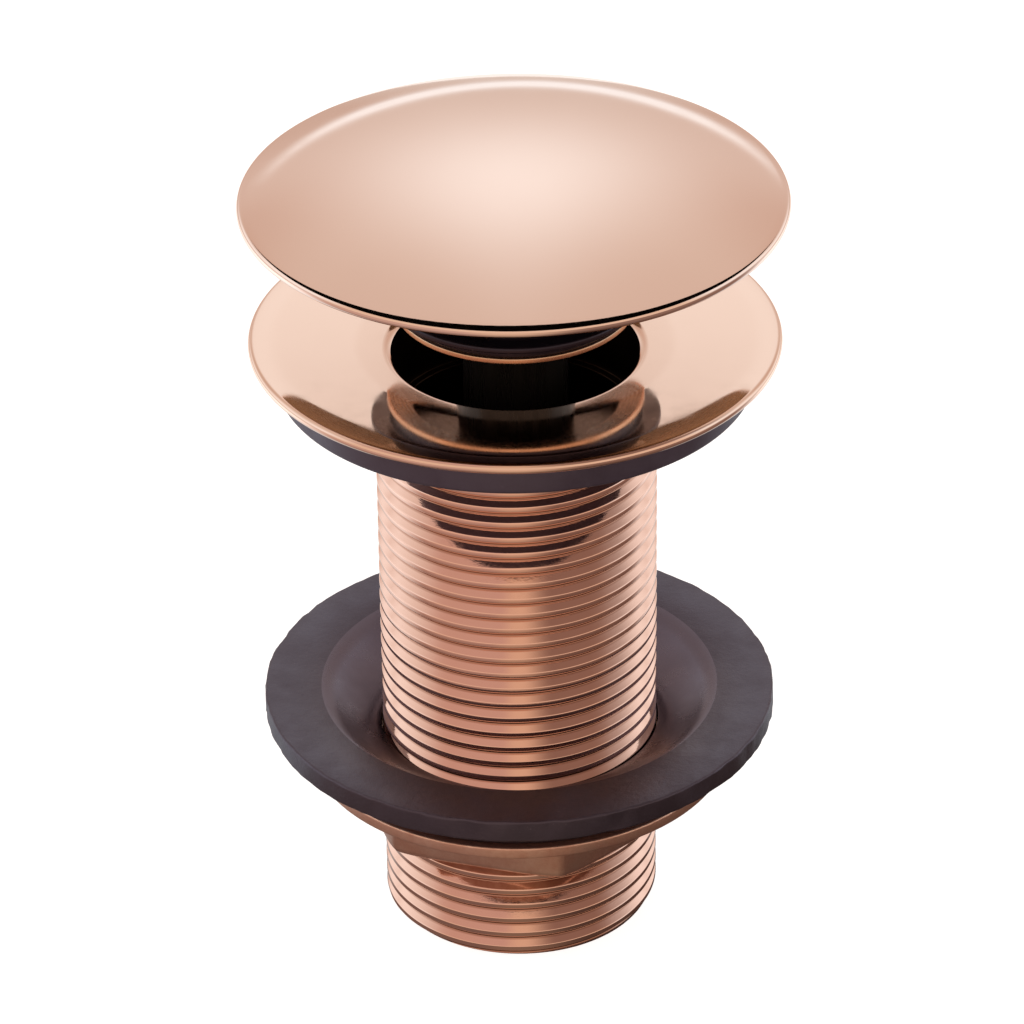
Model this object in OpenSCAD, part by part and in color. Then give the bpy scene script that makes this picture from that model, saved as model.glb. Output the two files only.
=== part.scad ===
// Pop-up basin waste: a push-to-close mushroom plug over a flanged, threaded tail,
// clamped to a basin from below by a rubber washer and a backnut.
// Millimetres, +Z up, origin at the centre of the tail's lower end. The plug is drawn open.

/* [Tail] */
// Major diameter of the tail's outside thread (G 1 1/4)
tail_d = 41.91; // [40:0.01:44]
// Length of the tail from its lower end to the root of the flange
tail_len = 91.8; // [85:0.1:105]
// Bore of the tail between the inlet ledge and the bridge
tail_bore_d = 34.4; // [33.6:0.1:35]
// Bore of the tail below the bridge
outlet_bore_d = 32.4; // [31:0.1:33]
// Chamfer on the tail's lower end
tail_chamfer = 1.0; // [0.5:0.1:1.4]
// Length of the free lower end that a trap screws onto
trap_len = 16.2; // [14:0.1:16.4]
// Width of the thread groove that ends the free length
trap_groove_w = 1.2; // [0.8:0.1:1.2]
// Depth of the thread groove that ends the free length
trap_groove_depth = 0.8; // [0.6:0.1:1]
// Height of the step that carries the bridge
bridge_seat_z = 30; // [28:0.5:32]

/* [Flange] */
// Outside diameter of the flange
flange_d = 78.6; // [76:0.1:84]
// Thickness of the rounded flange edge
flange_edge_t = 1.6; // [1.2:0.1:2.2]
// Thickness of the flange where it joins the tail
flange_root_t = 3.6; // [2.8:0.1:4.5]
// Rise of the dish from the drain hole to the flange edge
dish_rise = 2.7; // [2.2:0.1:4]
// Diameter of the steeper part of the dish round the drain hole
bowl_d = 47; // [44:0.5:52]
// Depth of the steeper part of the dish
bowl_depth = 0.8; // [0.4:0.1:1.2]
// Diameter of the drain hole
hole_d = 38.0; // [37.2:0.1:38.4]
// Width of the seat chamfer round the drain hole
seat_chamfer = 0.6; // [0.3:0.1:0.8]
// Bore below the drain hole, down to the inlet ledge
inlet_bore_d = 36.8; // [36.4:0.1:37]
// Depth of that bore, from the drain hole down to the inlet ledge
inlet_depth = 11.4; // [9:0.1:13]

/* [Flange gasket] */
// Diameter of the gasket under the flange
gasket_d = 71.8; // [66:0.1:74]
// Thickness of the gasket next to the tail
gasket_t = 1.0; // [0.8:0.1:2.5]
// How far the gasket's side leans in towards the basin
gasket_taper = 0.5; // [0.2:0.1:2]

/* [Back washer] */
// Height of the rubber washer's upper face above the tail's lower end
washer_top_z = 37.0; // [34:0.5:60]
// Diameter of the rubber washer
washer_d = 77.8; // [72:0.1:82]
// Thickness of the washer's rim
washer_edge_t = 3.5; // [2.5:0.1:4.5]
// Overall height of the washer
washer_h = 9.0; // [7.5:0.1:11]
// Diameter of the dished recess in the washer's upper face
washer_recess_d = 60.4; // [54:0.1:66]
// Depth of the dished recess
washer_recess_depth = 6.0; // [4:0.1:7]
// Diameter of the washer's lower face
washer_foot_d = 62.0; // [56:0.1:64]
// How far the washer's shoulder lies inside its rim
washer_shoulder = 2.2; // [1.5:0.1:3]

/* [Backnut] */
// Width of the hexagon across its flats
nut_af = 47.5; // [46:0.1:52]
// Height of the hexagon below the collar
nut_hex_h = 8.4; // [6:0.1:11]
// Diameter of the round collar
nut_collar_d = 64.8; // [60:0.1:68]
// Thickness of the round collar
nut_collar_t = 1.9; // [1.5:0.1:3]
// Turn of the hexagon about the tail
nut_turn = -16.6; // [-30:0.1:30]

/* [Plug] */
// Travel of the plug from open to closed
travel = 9.2; // [8:0.1:9.4]
// Height of the plug's lip above the drain hole when open
lip_lift = 6.7; // [6:0.1:7.2]
// Diameter of the carrier's lip
lip_d = 35.2; // [34.4:0.1:35.6]
// Thickness of the carrier's lip
lip_t = 0.9; // [0.7:0.1:1.2]
// Outside diameter of the carrier's cup
carrier_d = 32.0; // [31:0.1:32.4]
// Diameter of the recess inside the carrier's cup
recess_d = 27.8; // [27.6:0.1:28.4]
// Thickness of the carrier's top plate
carrier_plate_t = 3.0; // [2.4:0.1:3.6]
// Diameter of the disc that closes the drain hole
seal_d = 39.4; // [39:0.1:41]
// Thickness of the sealing disc
seal_disc_t = 1.0; // [0.8:0.1:1.6]
// Diameter of the seal's sleeve round the carrier
seal_sleeve_d = 34.2; // [33.6:0.1:34.6]
// Height of the seal's sleeve above the carrier's lip
seal_h = 12.2; // [11.5:0.1:13]
// Thickness of the ring that clamps the seal
clamp_t = 1.4; // [1:0.1:2]
// Diameter of the ring that clamps the seal
clamp_d = 37.2; // [35:0.1:39]

/* [Cap] */
// Diameter of the mushroom cap
cap_d = 80.4; // [78:0.1:86]
// Wall of the cap
cap_t = 1.6; // [1.2:0.1:2]
// Height of the cap's rolled edge
cap_edge_t = 1.9; // [1.4:0.1:2.6]
// Rise of the dome above the rolled edge
cap_rise = 7.5; // [5:0.1:11]
// How far the cap's boss reaches below the rolled edge
cap_boss_drop = 1.0; // [0.6:0.1:2.5]
// Diameter of the cap's boss
cap_boss_d = 18; // [15:0.5:24]
// Thickness of the gasket between cap and carrier
cap_gasket_t = 1.0; // [0.6:0.1:1.6]

/* [Stud] */
// Diameter of the threaded studs
stud_d = 8; // [7:0.5:8]
// Length of stud held in the cap's boss
stud_in_cap = 7; // [5:0.5:8]
// Length of stud held in the plunger sleeve
stud_in_sleeve = 10; // [8:0.5:12]
// Width across flats of the stud nuts
stud_nut_af = 13; // [12:0.5:14]
// Height of a stud nut
stud_nut_h = 5.6; // [4:0.1:6.5]
// Chamfer on the stud's ends
stud_chamfer = 0.8; // [0.4:0.1:1]
// Length of the lower stud that shows below its nut
stud_tip = 1.2; // [0.6:0.1:2]

/* [Push mechanism] */
// Outside diameter of the plunger sleeve
sleeve_d = 15.5; // [15.1:0.1:16.4]
// Diameter of the sleeve's head inside the carrier's cup
sleeve_head_d = 27.2; // [24:0.1:27.2]
// Thickness of the sleeve's head
sleeve_head_t = 4.0; // [3:0.1:5]
// Thickness of the web in the sleeve between the stud and the spring
sleeve_web = 2.5; // [2:0.1:3.5]
// Diameter of the cam post
post_d = 12.4; // [12:0.1:12.8]
// Bore of the cam post for the spring
post_bore_d = 7.8; // [7.4:0.1:8]
// Height of the spring's seat above the cam post's foot
spring_seat_h = 9.4; // [8:0.1:11]
// Height of the cam post above its foot
post_h = 37; // [36:0.5:38]
// Thickness of the cam post's foot
post_foot_t = 2; // [1.5:0.1:2.4]
// Diameter of the cam post's foot
post_foot_d = 18; // [16:0.5:19]
// Depth of the cam track
track_depth = 1.2; // [1:0.05:1.3]
// Number of follower pins, each with its own downward and upward track
pin_count = 2; // [1:1:2]
// Diameter of a follower pin
pin_d = 2.0; // [1.6:0.1:2.2]
// Height of the follower ring
follower_h = 4.0; // [3.4:0.1:5]
// Outside diameter of the follower ring
follower_d = 16.8; // [16:0.1:17.4]
// Wall of the sleeve's foot round the follower ring
foot_wall = 1.1; // [0.8:0.1:1.6]
// Thickness of the retaining ring under the sleeve
retainer_t = 1.5; // [1:0.1:1.6]
// Height of the retaining ring's spigot
spigot_h = 1.6; // [1.2:0.1:2]
// Thickness of the thrust washer above the follower ring
thrust_t = 0.8; // [0.5:0.1:1]
// Diameter of the spring's wire
wire_d = 0.9; // [0.7:0.05:1]
// Number of coils in the spring
spring_turns = 12; // [9:1:14]

/* [Bridge] */
// Height of the bridge
bridge_h = 7; // [6:0.5:8]
// Radial thickness of the bridge's outer ring
bridge_ring_w = 2.2; // [1.8:0.1:3]
// Width of a bridge spoke
spoke_w = 3.2; // [2.6:0.1:4]
// How far a spoke lies inside the bridge's upper and lower faces
spoke_inset = 0.8; // [0.4:0.1:1.2]
// Number of bridge spokes
spoke_count = 4; // [3:1:4]
// Diameter of the bridge's hub
hub_d = 19; // [18:0.5:21]
// Thickness of the retaining clip above the bridge
clip_t = 1.2; // [1:0.1:1.5]
// Depth of the clip's groove in the tail's bore
clip_groove = 0.9; // [0.6:0.1:1]
// Half angle of the clip's gap
clip_gap_half = 12; // [8:0.5:16]
// Diameter of an eye at the clip's ends
clip_eye_d = 3.4; // [3:0.1:4]
// Turn from the gap's side to the middle of an eye
clip_eye_turn = 5; // [4:0.5:7]
// Thickness of the washer under the bridge
post_washer_t = 1.4; // [1:0.1:2]
// Diameter of the washer under the bridge
post_washer_d = 17; // [15:0.5:19]

/* [Clearances] */
// Radial running clearance of shafts and guides
run_gap = 0.1; // [0.05:0.01:0.1]
// Radial clearance of the nut on the tail
thread_gap = 0.08; // [0.04:0.01:0.1]
// Clearance round soft and loose pieces
loose_gap = 0.3; // [0.25:0.05:0.4]
// Clearance of a pin in its track
track_gap = 0.3; // [0.2:0.05:0.35]
// Clearance of pieces that are assembled together
fit_gap = 0.05; // [0.02:0.01:0.08]
// Room under the plug's seal when closed
seal_run = 0.3; // [0.2:0.1:0.6]

/* [Hidden] */
$fn = 128;
over = 1;

// Colours of the finishes
rose_gold = [0.85, 0.66, 0.57];
raw_brass = [0.74, 0.56, 0.34];
cast_brass = [0.70, 0.48, 0.38];
rubber_black = [0.12, 0.11, 0.12];
plastic_black = [0.07, 0.07, 0.07];
steel_grey = [0.62, 0.63, 0.64];

// Tail and flange
tail_r = tail_d / 2;
hole_z = tail_len + flange_root_t;
edge_r = flange_edge_t / 2;
edge_c_r = flange_d / 2 - edge_r;
edge_top = hole_z + dish_rise;
edge_z = edge_top - edge_r;
ledge_z = hole_z - inlet_depth;
// The dish is a flat cone that falls a little faster next to the drain hole
dish_in_r = hole_d / 2 + seat_chamfer;
bowl_r = bowl_d / 2;
bowl_z = hole_z + bowl_depth;
bowl_slope = bowl_depth / (bowl_r - dish_in_r);
dish_slope = (edge_top - bowl_z) / (edge_c_r - bowl_r);
// The flange's underside is a cone from the tail to the rounded edge
under_slope = (edge_z - edge_r - tail_len) / (edge_c_r - tail_r);

// Backnut and back washer
washer_base_z = washer_top_z - washer_h;
nut_collar_z = washer_base_z - nut_collar_t;
nut_base_z = nut_collar_z - nut_hex_h;
nut_corner_d = nut_af / cos(30);
nut_chamfer = (nut_corner_d - nut_af) / 4;

// Plug
lip_z = hole_z + lip_lift;
lip_top = lip_z + lip_t;
seal_face_z = hole_z + bowl_slope * (seal_d / 2 - dish_in_r) + travel + seal_run;
seal_top = lip_top + seal_h;
carrier_top = seal_top + clamp_t;
plate_z = carrier_top - carrier_plate_t;
boss_z = carrier_top + cap_gasket_t;
cap_rim_z = boss_z + cap_boss_drop;
cap_edge_r = cap_edge_t / 2;
cap_edge_c_r = cap_d / 2 - cap_edge_r;
cap_edge_z = cap_rim_z + cap_edge_r;
cap_top = cap_rim_z + cap_edge_t + cap_rise;
// The dome's sphere touches the rolled edge without a corner
dome_drop = cap_top - cap_edge_z;
dome_r = (pow(dome_drop, 2) + pow(cap_edge_c_r, 2) - pow(cap_edge_r, 2))
    / (2 * (dome_drop - cap_edge_r));
dome_z = cap_top - dome_r;
dome_touch_r = cap_edge_c_r * dome_r / (dome_r - cap_edge_r);

// Push mechanism, upwards from the bridge
bridge_top = bridge_seat_z + bridge_h;
post_z = bridge_top;
post_foot_top = post_z + post_foot_t;
post_top = post_foot_top + post_h;
post_r = post_d / 2;
guide_r = post_r + run_gap;
// At the closed end the retaining ring stops just above the post's foot
retainer_z = post_foot_top + travel + loose_gap * 2;
foot_z = retainer_z + retainer_t;
follower_z = foot_z + spigot_h + loose_gap;
thrust_z = follower_z + follower_h + loose_gap;
pocket_top = thrust_z + thrust_t;
pocket_r = follower_d / 2 + run_gap;
foot_r = pocket_r + foot_wall;
foot_top = pocket_top + foot_wall;
pin_z = follower_z + follower_h / 2;
pin_low_z = pin_z - travel;
leg_turn = 180 / pin_count;
track_floor_r = post_r - track_depth;
track_w = pin_d + 2 * track_gap;
track_steps = 8;
post_fn = 72;
stud_nut_z = plate_z - stud_nut_h;
sleeve_top = stud_nut_z;
stud_base_z = sleeve_top - stud_in_sleeve;
sleeve_ceiling = stud_base_z - sleeve_web;
spring_floor = post_foot_top + spring_seat_h;
spring_r = post_bore_d / 2 - loose_gap - wire_d / 2;
post_stud_drop = bridge_h + post_washer_t + stud_nut_h + stud_tip;

// Ring with a square section between two radii
module ring(outer_r, inner_r, h) {
    difference() {
        cylinder(r = outer_r, h = h);
        translate([0, 0, -over]) cylinder(r = inner_r, h = h + 2 * over);
    }
}

// Hexagon nut with both rims of its corners chamfered
module hex_nut(af, h, bore_r) {
    corner_r = af / cos(30) / 2;
    drop = (corner_r - af / 2) * tan(30);
    difference() {
        intersection() {
            cylinder(r = corner_r, h = h, $fn = 6);
            union() {
                cylinder(r1 = af / 2, r2 = corner_r, h = drop);
                translate([0, 0, drop]) cylinder(r = corner_r, h = h - 2 * drop);
                translate([0, 0, h - drop]) cylinder(r1 = corner_r, r2 = af / 2, h = drop);
            }
        }
        translate([0, 0, -over]) cylinder(r = bore_r, h = h + 2 * over);
    }
}

// One-piece flange and tail: a shallow dish round the drain hole, a long threaded tube below
module waste_body() {
    color(rose_gold)
    difference() {
        union() {
            cylinder(r1 = tail_r - tail_chamfer, r2 = tail_r, h = tail_chamfer);
            translate([0, 0, tail_chamfer]) cylinder(r = tail_r, h = tail_len - tail_chamfer);
            flange_blank();
        }
        translate([0, 0, -over]) cylinder(d = outlet_bore_d, h = bridge_seat_z + 2 * over);
        translate([0, 0, bridge_seat_z]) cylinder(d = tail_bore_d, h = hole_z);
        translate([0, 0, ledge_z]) cylinder(d = inlet_bore_d, h = hole_z);
        translate([0, 0, hole_z - seat_chamfer * 2])
            cylinder(d = hole_d, h = hole_z);
        translate([0, 0, hole_z - seat_chamfer])
            cylinder(r1 = hole_d / 2, r2 = dish_in_r + seat_chamfer, h = 2 * seat_chamfer);
        translate([0, 0, bridge_top]) cylinder(r = tail_bore_d / 2 + clip_groove, h = clip_t + fit_gap);
        // One turn of the thread, cut as a ring where the free end for the trap stops
        translate([0, 0, trap_len]) ring(tail_r + over, tail_r - trap_groove_depth, trap_groove_w);
    }
}

// Flange: cone underneath, shallow dish on top, rounded edge
module flange_blank() {
    edge_base = edge_z - edge_r;
    in_r = hole_d / 2 - over;
    out_r = edge_c_r + over;
    difference() {
        union() {
            translate([0, 0, tail_len]) cylinder(r1 = tail_r, r2 = edge_c_r, h = edge_base - tail_len);
            translate([0, 0, edge_base]) cylinder(r = edge_c_r, h = 2 * edge_r);
        }
        rotate_extrude()
            polygon([
                [in_r, hole_z],
                [dish_in_r, hole_z],
                [bowl_r, bowl_z],
                [out_r, edge_top + dish_slope * over],
                [out_r, edge_top + over],
                [in_r, edge_top + over]
            ]);
    }
    rotate_extrude() translate([edge_c_r, edge_z]) circle(r = edge_r, $fn = 48);
}

// Rubber gasket that fills the cone under the flange and seals on the basin
module flange_gasket() {
    inner_r = tail_r + fit_gap;
    outer_r = gasket_d / 2;
    top_in = tail_len + under_slope * (inner_r - tail_r);
    top_out = tail_len + under_slope * (outer_r - tail_r);
    base = tail_len - gasket_t;
    color(rubber_black)
    rotate_extrude()
        polygon([
            [inner_r, base],
            [outer_r - gasket_taper, base],
            [outer_r, top_out],
            [inner_r, top_in]
        ]);
}

// Dished rubber washer that presses on the basin from below
module back_washer() {
    inner_r = tail_r + loose_gap;
    rim_r = washer_d / 2;
    rim_base = washer_top_z - washer_edge_t;
    recess_floor = washer_top_z - washer_recess_depth;
    shoulder_r = rim_r - washer_shoulder;
    color(rubber_black)
    rotate_extrude()
        polygon([
            [inner_r, washer_base_z],
            [washer_foot_d / 2, washer_base_z],
            [shoulder_r, rim_base],
            [rim_r, rim_base],
            [rim_r, washer_top_z],
            [washer_recess_d / 2, washer_top_z],
            [inner_r, recess_floor]
        ]);
}

// Hexagon backnut with a round collar under the rubber washer
module backnut() {
    bore_r = tail_r + thread_gap;
    corner_r = nut_corner_d / 2;
    color(cast_brass)
    difference() {
        union() {
            translate([0, 0, nut_collar_z]) cylinder(d = nut_collar_d, h = nut_collar_t);
            rotate([0, 0, nut_turn])
            translate([0, 0, nut_base_z])
            intersection() {
                cylinder(r = corner_r, h = nut_hex_h, $fn = 6);
                union() {
                    cylinder(r1 = corner_r - nut_chamfer, r2 = corner_r, h = nut_chamfer);
                    translate([0, 0, nut_chamfer]) cylinder(r = corner_r, h = nut_hex_h - nut_chamfer);
                }
            }
        }
        translate([0, 0, nut_base_z - over]) cylinder(r = bore_r, h = nut_hex_h + nut_collar_t + 2 * over);
    }
}

// Spoked bridge across the tail's bore, which carries the cam post
module bridge() {
    ring_r = tail_bore_d / 2 - fit_gap;
    spoke_from = hub_d / 4;
    spoke_len = ring_r - bridge_ring_w / 2 - spoke_from;
    color(plastic_black)
    translate([0, 0, bridge_seat_z])
    difference() {
        union() {
            ring(ring_r, ring_r - bridge_ring_w, bridge_h);
            cylinder(d = hub_d, h = bridge_h);
            for (i = [0 : spoke_count - 1])
                rotate([0, 0, 360 / spoke_count * (i + 0.5)])
                translate([spoke_from, -spoke_w / 2, spoke_inset])
                    cube([spoke_len, spoke_w, bridge_h - 2 * spoke_inset]);
        }
        translate([0, 0, -over]) cylinder(r = stud_d / 2 + fit_gap, h = bridge_h + 2 * over);
    }
}

// Open retaining clip, sprung into the bore's groove above the bridge
module bridge_clip() {
    outer_r = tail_bore_d / 2 + clip_groove - fit_gap;
    inner_r = tail_bore_d / 2 - bridge_ring_w / 2;
    eye_c_r = inner_r - clip_eye_d / 4;
    eye_turn = clip_gap_half + clip_eye_turn;
    gap_w = 2 * outer_r * tan(clip_gap_half);
    color(steel_grey)
    translate([0, 0, bridge_top])
    difference() {
        union() {
            difference() {
                ring(outer_r, inner_r, clip_t);
                translate([0, 0, -over])
                linear_extrude(clip_t + 2 * over)
                    polygon([
                        [0, 0],
                        [2 * outer_r, -gap_w],
                        [2 * outer_r, gap_w]
                    ]);
            }
            for (side = [-1, 1])
                rotate([0, 0, side * eye_turn])
                translate([eye_c_r, 0, 0]) cylinder(d = clip_eye_d, h = clip_t);
        }
        for (side = [-1, 1])
            rotate([0, 0, side * eye_turn])
            translate([eye_c_r, 0, -over]) cylinder(d = clip_eye_d / 2, h = clip_t + 2 * over);
    }
}

// Room for a follower pin at one place of the cam track
module track_place(turn, z) {
    rotate([0, 0, turn]) translate([track_floor_r, 0, z])
        rotate([0, 90, 0]) cylinder(d = track_w, h = track_depth + over, $fn = 24);
}

// One helical leg of the cam track, from an open place to a closed place
module track_leg(open_turn, closed_turn) {
    for (i = [0 : track_steps - 1])
        hull()
            for (share = [i / track_steps, (i + 1) / track_steps])
                track_place(open_turn + (closed_turn - open_turn) * share, pin_z - travel * share);
}

// Fixed cam post with the zigzag track that turns the follower on every push
module cam_post() {
    color(plastic_black)
    difference() {
        union() {
            translate([0, 0, post_z]) cylinder(d = post_foot_d, h = post_foot_t, $fn = post_fn);
            translate([0, 0, post_foot_top]) cylinder(r = post_r, h = post_h, $fn = post_fn);
            translate([0, 0, post_z - post_stud_drop])
                cylinder(d = stud_d, h = post_stud_drop + over, $fn = post_fn);
        }
        translate([0, 0, spring_floor]) cylinder(d = post_bore_d, h = post_top, $fn = post_fn);
        for (i = [0 : pin_count - 1]) {
            open_turn = 360 / pin_count * i;
            track_leg(open_turn, open_turn + leg_turn);
            track_leg(open_turn, open_turn - leg_turn);
            // Straight slot that lets the pins in from the post's top
            rotate([0, 0, open_turn]) translate([track_floor_r, -track_w / 2, pin_z])
                cube([track_depth + over, track_w, post_top]);
        }
    }
}

// Washer between the bridge and the nut that holds the cam post
module post_washer() {
    color(steel_grey)
    translate([0, 0, bridge_seat_z - post_washer_t])
        ring(post_washer_d / 2, stud_d / 2 + fit_gap, post_washer_t);
}

// Nut that holds the cam post on the bridge
module post_nut() {
    color(raw_brass)
    translate([0, 0, bridge_seat_z - post_washer_t - stud_nut_h])
        hex_nut(stud_nut_af, stud_nut_h, stud_d / 2 + fit_gap);
}

// Height of the spring's wire at a turn count, with closed coils at both ends
function coil_z(turn, low, high) =
    let (active = spring_turns - 2)
    turn < 1 ? low + wire_d * turn :
    turn > spring_turns - 1 ? high - wire_d * (spring_turns - turn) :
    low + wire_d + (high - low - 2 * wire_d) * (turn - 1) / active;

// Return spring between the cam post's bore and the sleeve's ceiling
module return_spring() {
    steps = 14;
    sides = 6;
    count = spring_turns * steps;
    low = spring_floor + wire_d / 2 + fit_gap;
    high = sleeve_ceiling - wire_d / 2 - fit_gap;
    points = [
        for (i = [0 : count])
        let (turn = i / steps, angle = 360 * turn)
        for (j = [0 : sides - 1])
        let (r = spring_r + wire_d / 2 * cos(360 * j / sides))
        [r * cos(angle), r * sin(angle), coil_z(turn, low, high) + wire_d / 2 * sin(360 * j / sides)]
    ];
    walls = [
        for (i = [0 : count - 1], j = [0 : sides - 1])
        let (k = (j + 1) % sides)
        [i * sides + j, (i + 1) * sides + j, (i + 1) * sides + k, i * sides + k]
    ];
    first_end = [for (j = [0 : sides - 1]) j];
    last_end = [for (j = [0 : sides - 1]) count * sides + sides - 1 - j];
    color(steel_grey)
        polyhedron(points = points, faces = concat(walls, [first_end], [last_end]));
}

// Plunger sleeve: slides on the cam post, and its head carries the plug
module plunger_sleeve() {
    color(plastic_black)
    difference() {
        union() {
            translate([0, 0, foot_z]) cylinder(d = sleeve_d, h = sleeve_top - foot_z);
            translate([0, 0, sleeve_top - sleeve_head_t]) cylinder(d = sleeve_head_d, h = sleeve_head_t);
            translate([0, 0, foot_z]) cylinder(r = foot_r, h = foot_top - foot_z);
            translate([0, 0, foot_top])
                cylinder(r1 = foot_r, r2 = sleeve_d / 2, h = foot_r - sleeve_d / 2);
        }
        translate([0, 0, foot_z - over]) cylinder(r = guide_r, h = sleeve_ceiling - foot_z + over);
        translate([0, 0, foot_z - over]) cylinder(r = pocket_r, h = pocket_top - foot_z + over);
        translate([0, 0, stud_base_z]) cylinder(r = stud_d / 2 + fit_gap, h = stud_in_sleeve + over);
    }
}

// Ring that closes the sleeve's foot and keeps the follower in
module sleeve_retainer() {
    bore_r = guide_r + loose_gap;
    color(plastic_black)
    difference() {
        union() {
            translate([0, 0, retainer_z]) cylinder(r = foot_r, h = retainer_t);
            translate([0, 0, foot_z]) cylinder(r = pocket_r - fit_gap, h = spigot_h);
        }
        translate([0, 0, retainer_z - over]) cylinder(r = bore_r, h = retainer_t + spigot_h + 2 * over);
    }
}

// Slip washer between the follower and the sleeve
module thrust_washer() {
    color(steel_grey)
    translate([0, 0, thrust_z])
        ring(pocket_r - fit_gap, guide_r, thrust_t);
}

// Ring that turns in the sleeve's foot and holds the track pins
module follower_ring() {
    color(raw_brass)
    difference() {
        translate([0, 0, follower_z]) ring(follower_d / 2, guide_r, follower_h);
        for (i = [0 : pin_count - 1])
            rotate([0, 0, 360 / pin_count * i]) translate([0, 0, pin_z])
            rotate([0, 90, 0]) cylinder(r = pin_d / 2 + fit_gap / 2, h = follower_d, $fn = 48);
    }
}

// Steel pins that run in the cam track
module follower_pins() {
    tip_r = track_floor_r + track_gap / 2;
    color(steel_grey)
    for (i = [0 : pin_count - 1])
        rotate([0, 0, 360 / pin_count * i]) translate([tip_r, 0, pin_z])
        rotate([0, 90, 0]) cylinder(d = pin_d, h = follower_d / 2 - fit_gap - tip_r, $fn = 48);
}

// Mushroom cap: thin dome with a rolled edge and a boss for the stud
module mushroom_cap() {
    boss_r = cap_boss_d / 2;
    boss_top = dome_z + sqrt(pow(dome_r - cap_t / 2, 2) - pow(boss_r, 2));
    color(rose_gold)
    difference() {
        union() {
            difference() {
                union() {
                    intersection() {
                        translate([0, 0, dome_z]) sphere(r = dome_r, $fn = 256);
                        translate([0, 0, cap_edge_z]) cylinder(r = dome_touch_r, h = dome_drop + over);
                    }
                    rotate_extrude() translate([cap_edge_c_r, cap_edge_z]) circle(r = cap_edge_r, $fn = 48);
                }
                translate([0, 0, dome_z]) sphere(r = dome_r - cap_t, $fn = 256);
            }
            translate([0, 0, boss_z]) cylinder(r = boss_r, h = boss_top - boss_z);
        }
        translate([0, 0, boss_z - over]) cylinder(r = stud_d / 2 + fit_gap, h = stud_in_cap + over);
    }
}

// Threaded stud that ties the cap, the carrier and the sleeve together
module cap_stud() {
    length = boss_z + stud_in_cap - fit_gap - stud_base_z;
    color(raw_brass)
    translate([0, 0, stud_base_z]) {
        cylinder(r1 = stud_d / 2 - stud_chamfer, r2 = stud_d / 2, h = stud_chamfer);
        translate([0, 0, stud_chamfer]) cylinder(d = stud_d, h = length - 2 * stud_chamfer);
        translate([0, 0, length - stud_chamfer])
            cylinder(r1 = stud_d / 2, r2 = stud_d / 2 - stud_chamfer, h = stud_chamfer);
    }
}

// Soft gasket between the cap's boss and the carrier
module cap_gasket() {
    color(rubber_black)
    translate([0, 0, carrier_top]) ring(cap_boss_d / 2, stud_d / 2 + fit_gap, cap_gasket_t);
}

// Nut on the stud under the carrier, which sets the height of the plug
module stud_nut() {
    color(raw_brass)
    translate([0, 0, stud_nut_z]) hex_nut(stud_nut_af, stud_nut_h, stud_d / 2 + fit_gap);
}

// Turned brass cup under the cap, with a lip that carries the rubber seal
module plug_carrier() {
    color(raw_brass)
    difference() {
        union() {
            translate([0, 0, lip_z]) cylinder(d = lip_d, h = lip_t);
            translate([0, 0, lip_z]) cylinder(d = carrier_d, h = carrier_top - lip_z);
        }
        translate([0, 0, lip_z - over]) cylinder(d = recess_d, h = plate_z - lip_z + over);
        translate([0, 0, plate_z - over])
            cylinder(r = stud_d / 2 + fit_gap, h = carrier_plate_t + 2 * over);
    }
}

// Rubber seal: a sleeve round the carrier with the disc that closes the drain hole
module plug_seal() {
    inner_r = carrier_d / 2 + fit_gap;
    color(rubber_black)
    difference() {
        union() {
            translate([0, 0, lip_top]) cylinder(d = seal_sleeve_d, h = seal_h);
            translate([0, 0, seal_face_z]) cylinder(d = seal_d, h = seal_disc_t);
        }
        translate([0, 0, lip_top - over]) cylinder(r = inner_r, h = seal_h + 2 * over);
    }
}

// Ring on the carrier that clamps the seal's sleeve
module seal_clamp() {
    color(raw_brass)
    translate([0, 0, seal_top]) ring(clamp_d / 2, carrier_d / 2 + fit_gap, clamp_t);
}

waste_body();
flange_gasket();
back_washer();
backnut();
bridge();
bridge_clip();
cam_post();
post_washer();
post_nut();
return_spring();
plunger_sleeve();
sleeve_retainer();
thrust_washer();
follower_ring();
follower_pins();
mushroom_cap();
cap_stud();
cap_gasket();
stud_nut();
plug_carrier();
plug_seal();
seal_clamp();
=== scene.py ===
import math

import bmesh
import bpy
from mathutils import Matrix, Vector, noise


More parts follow.
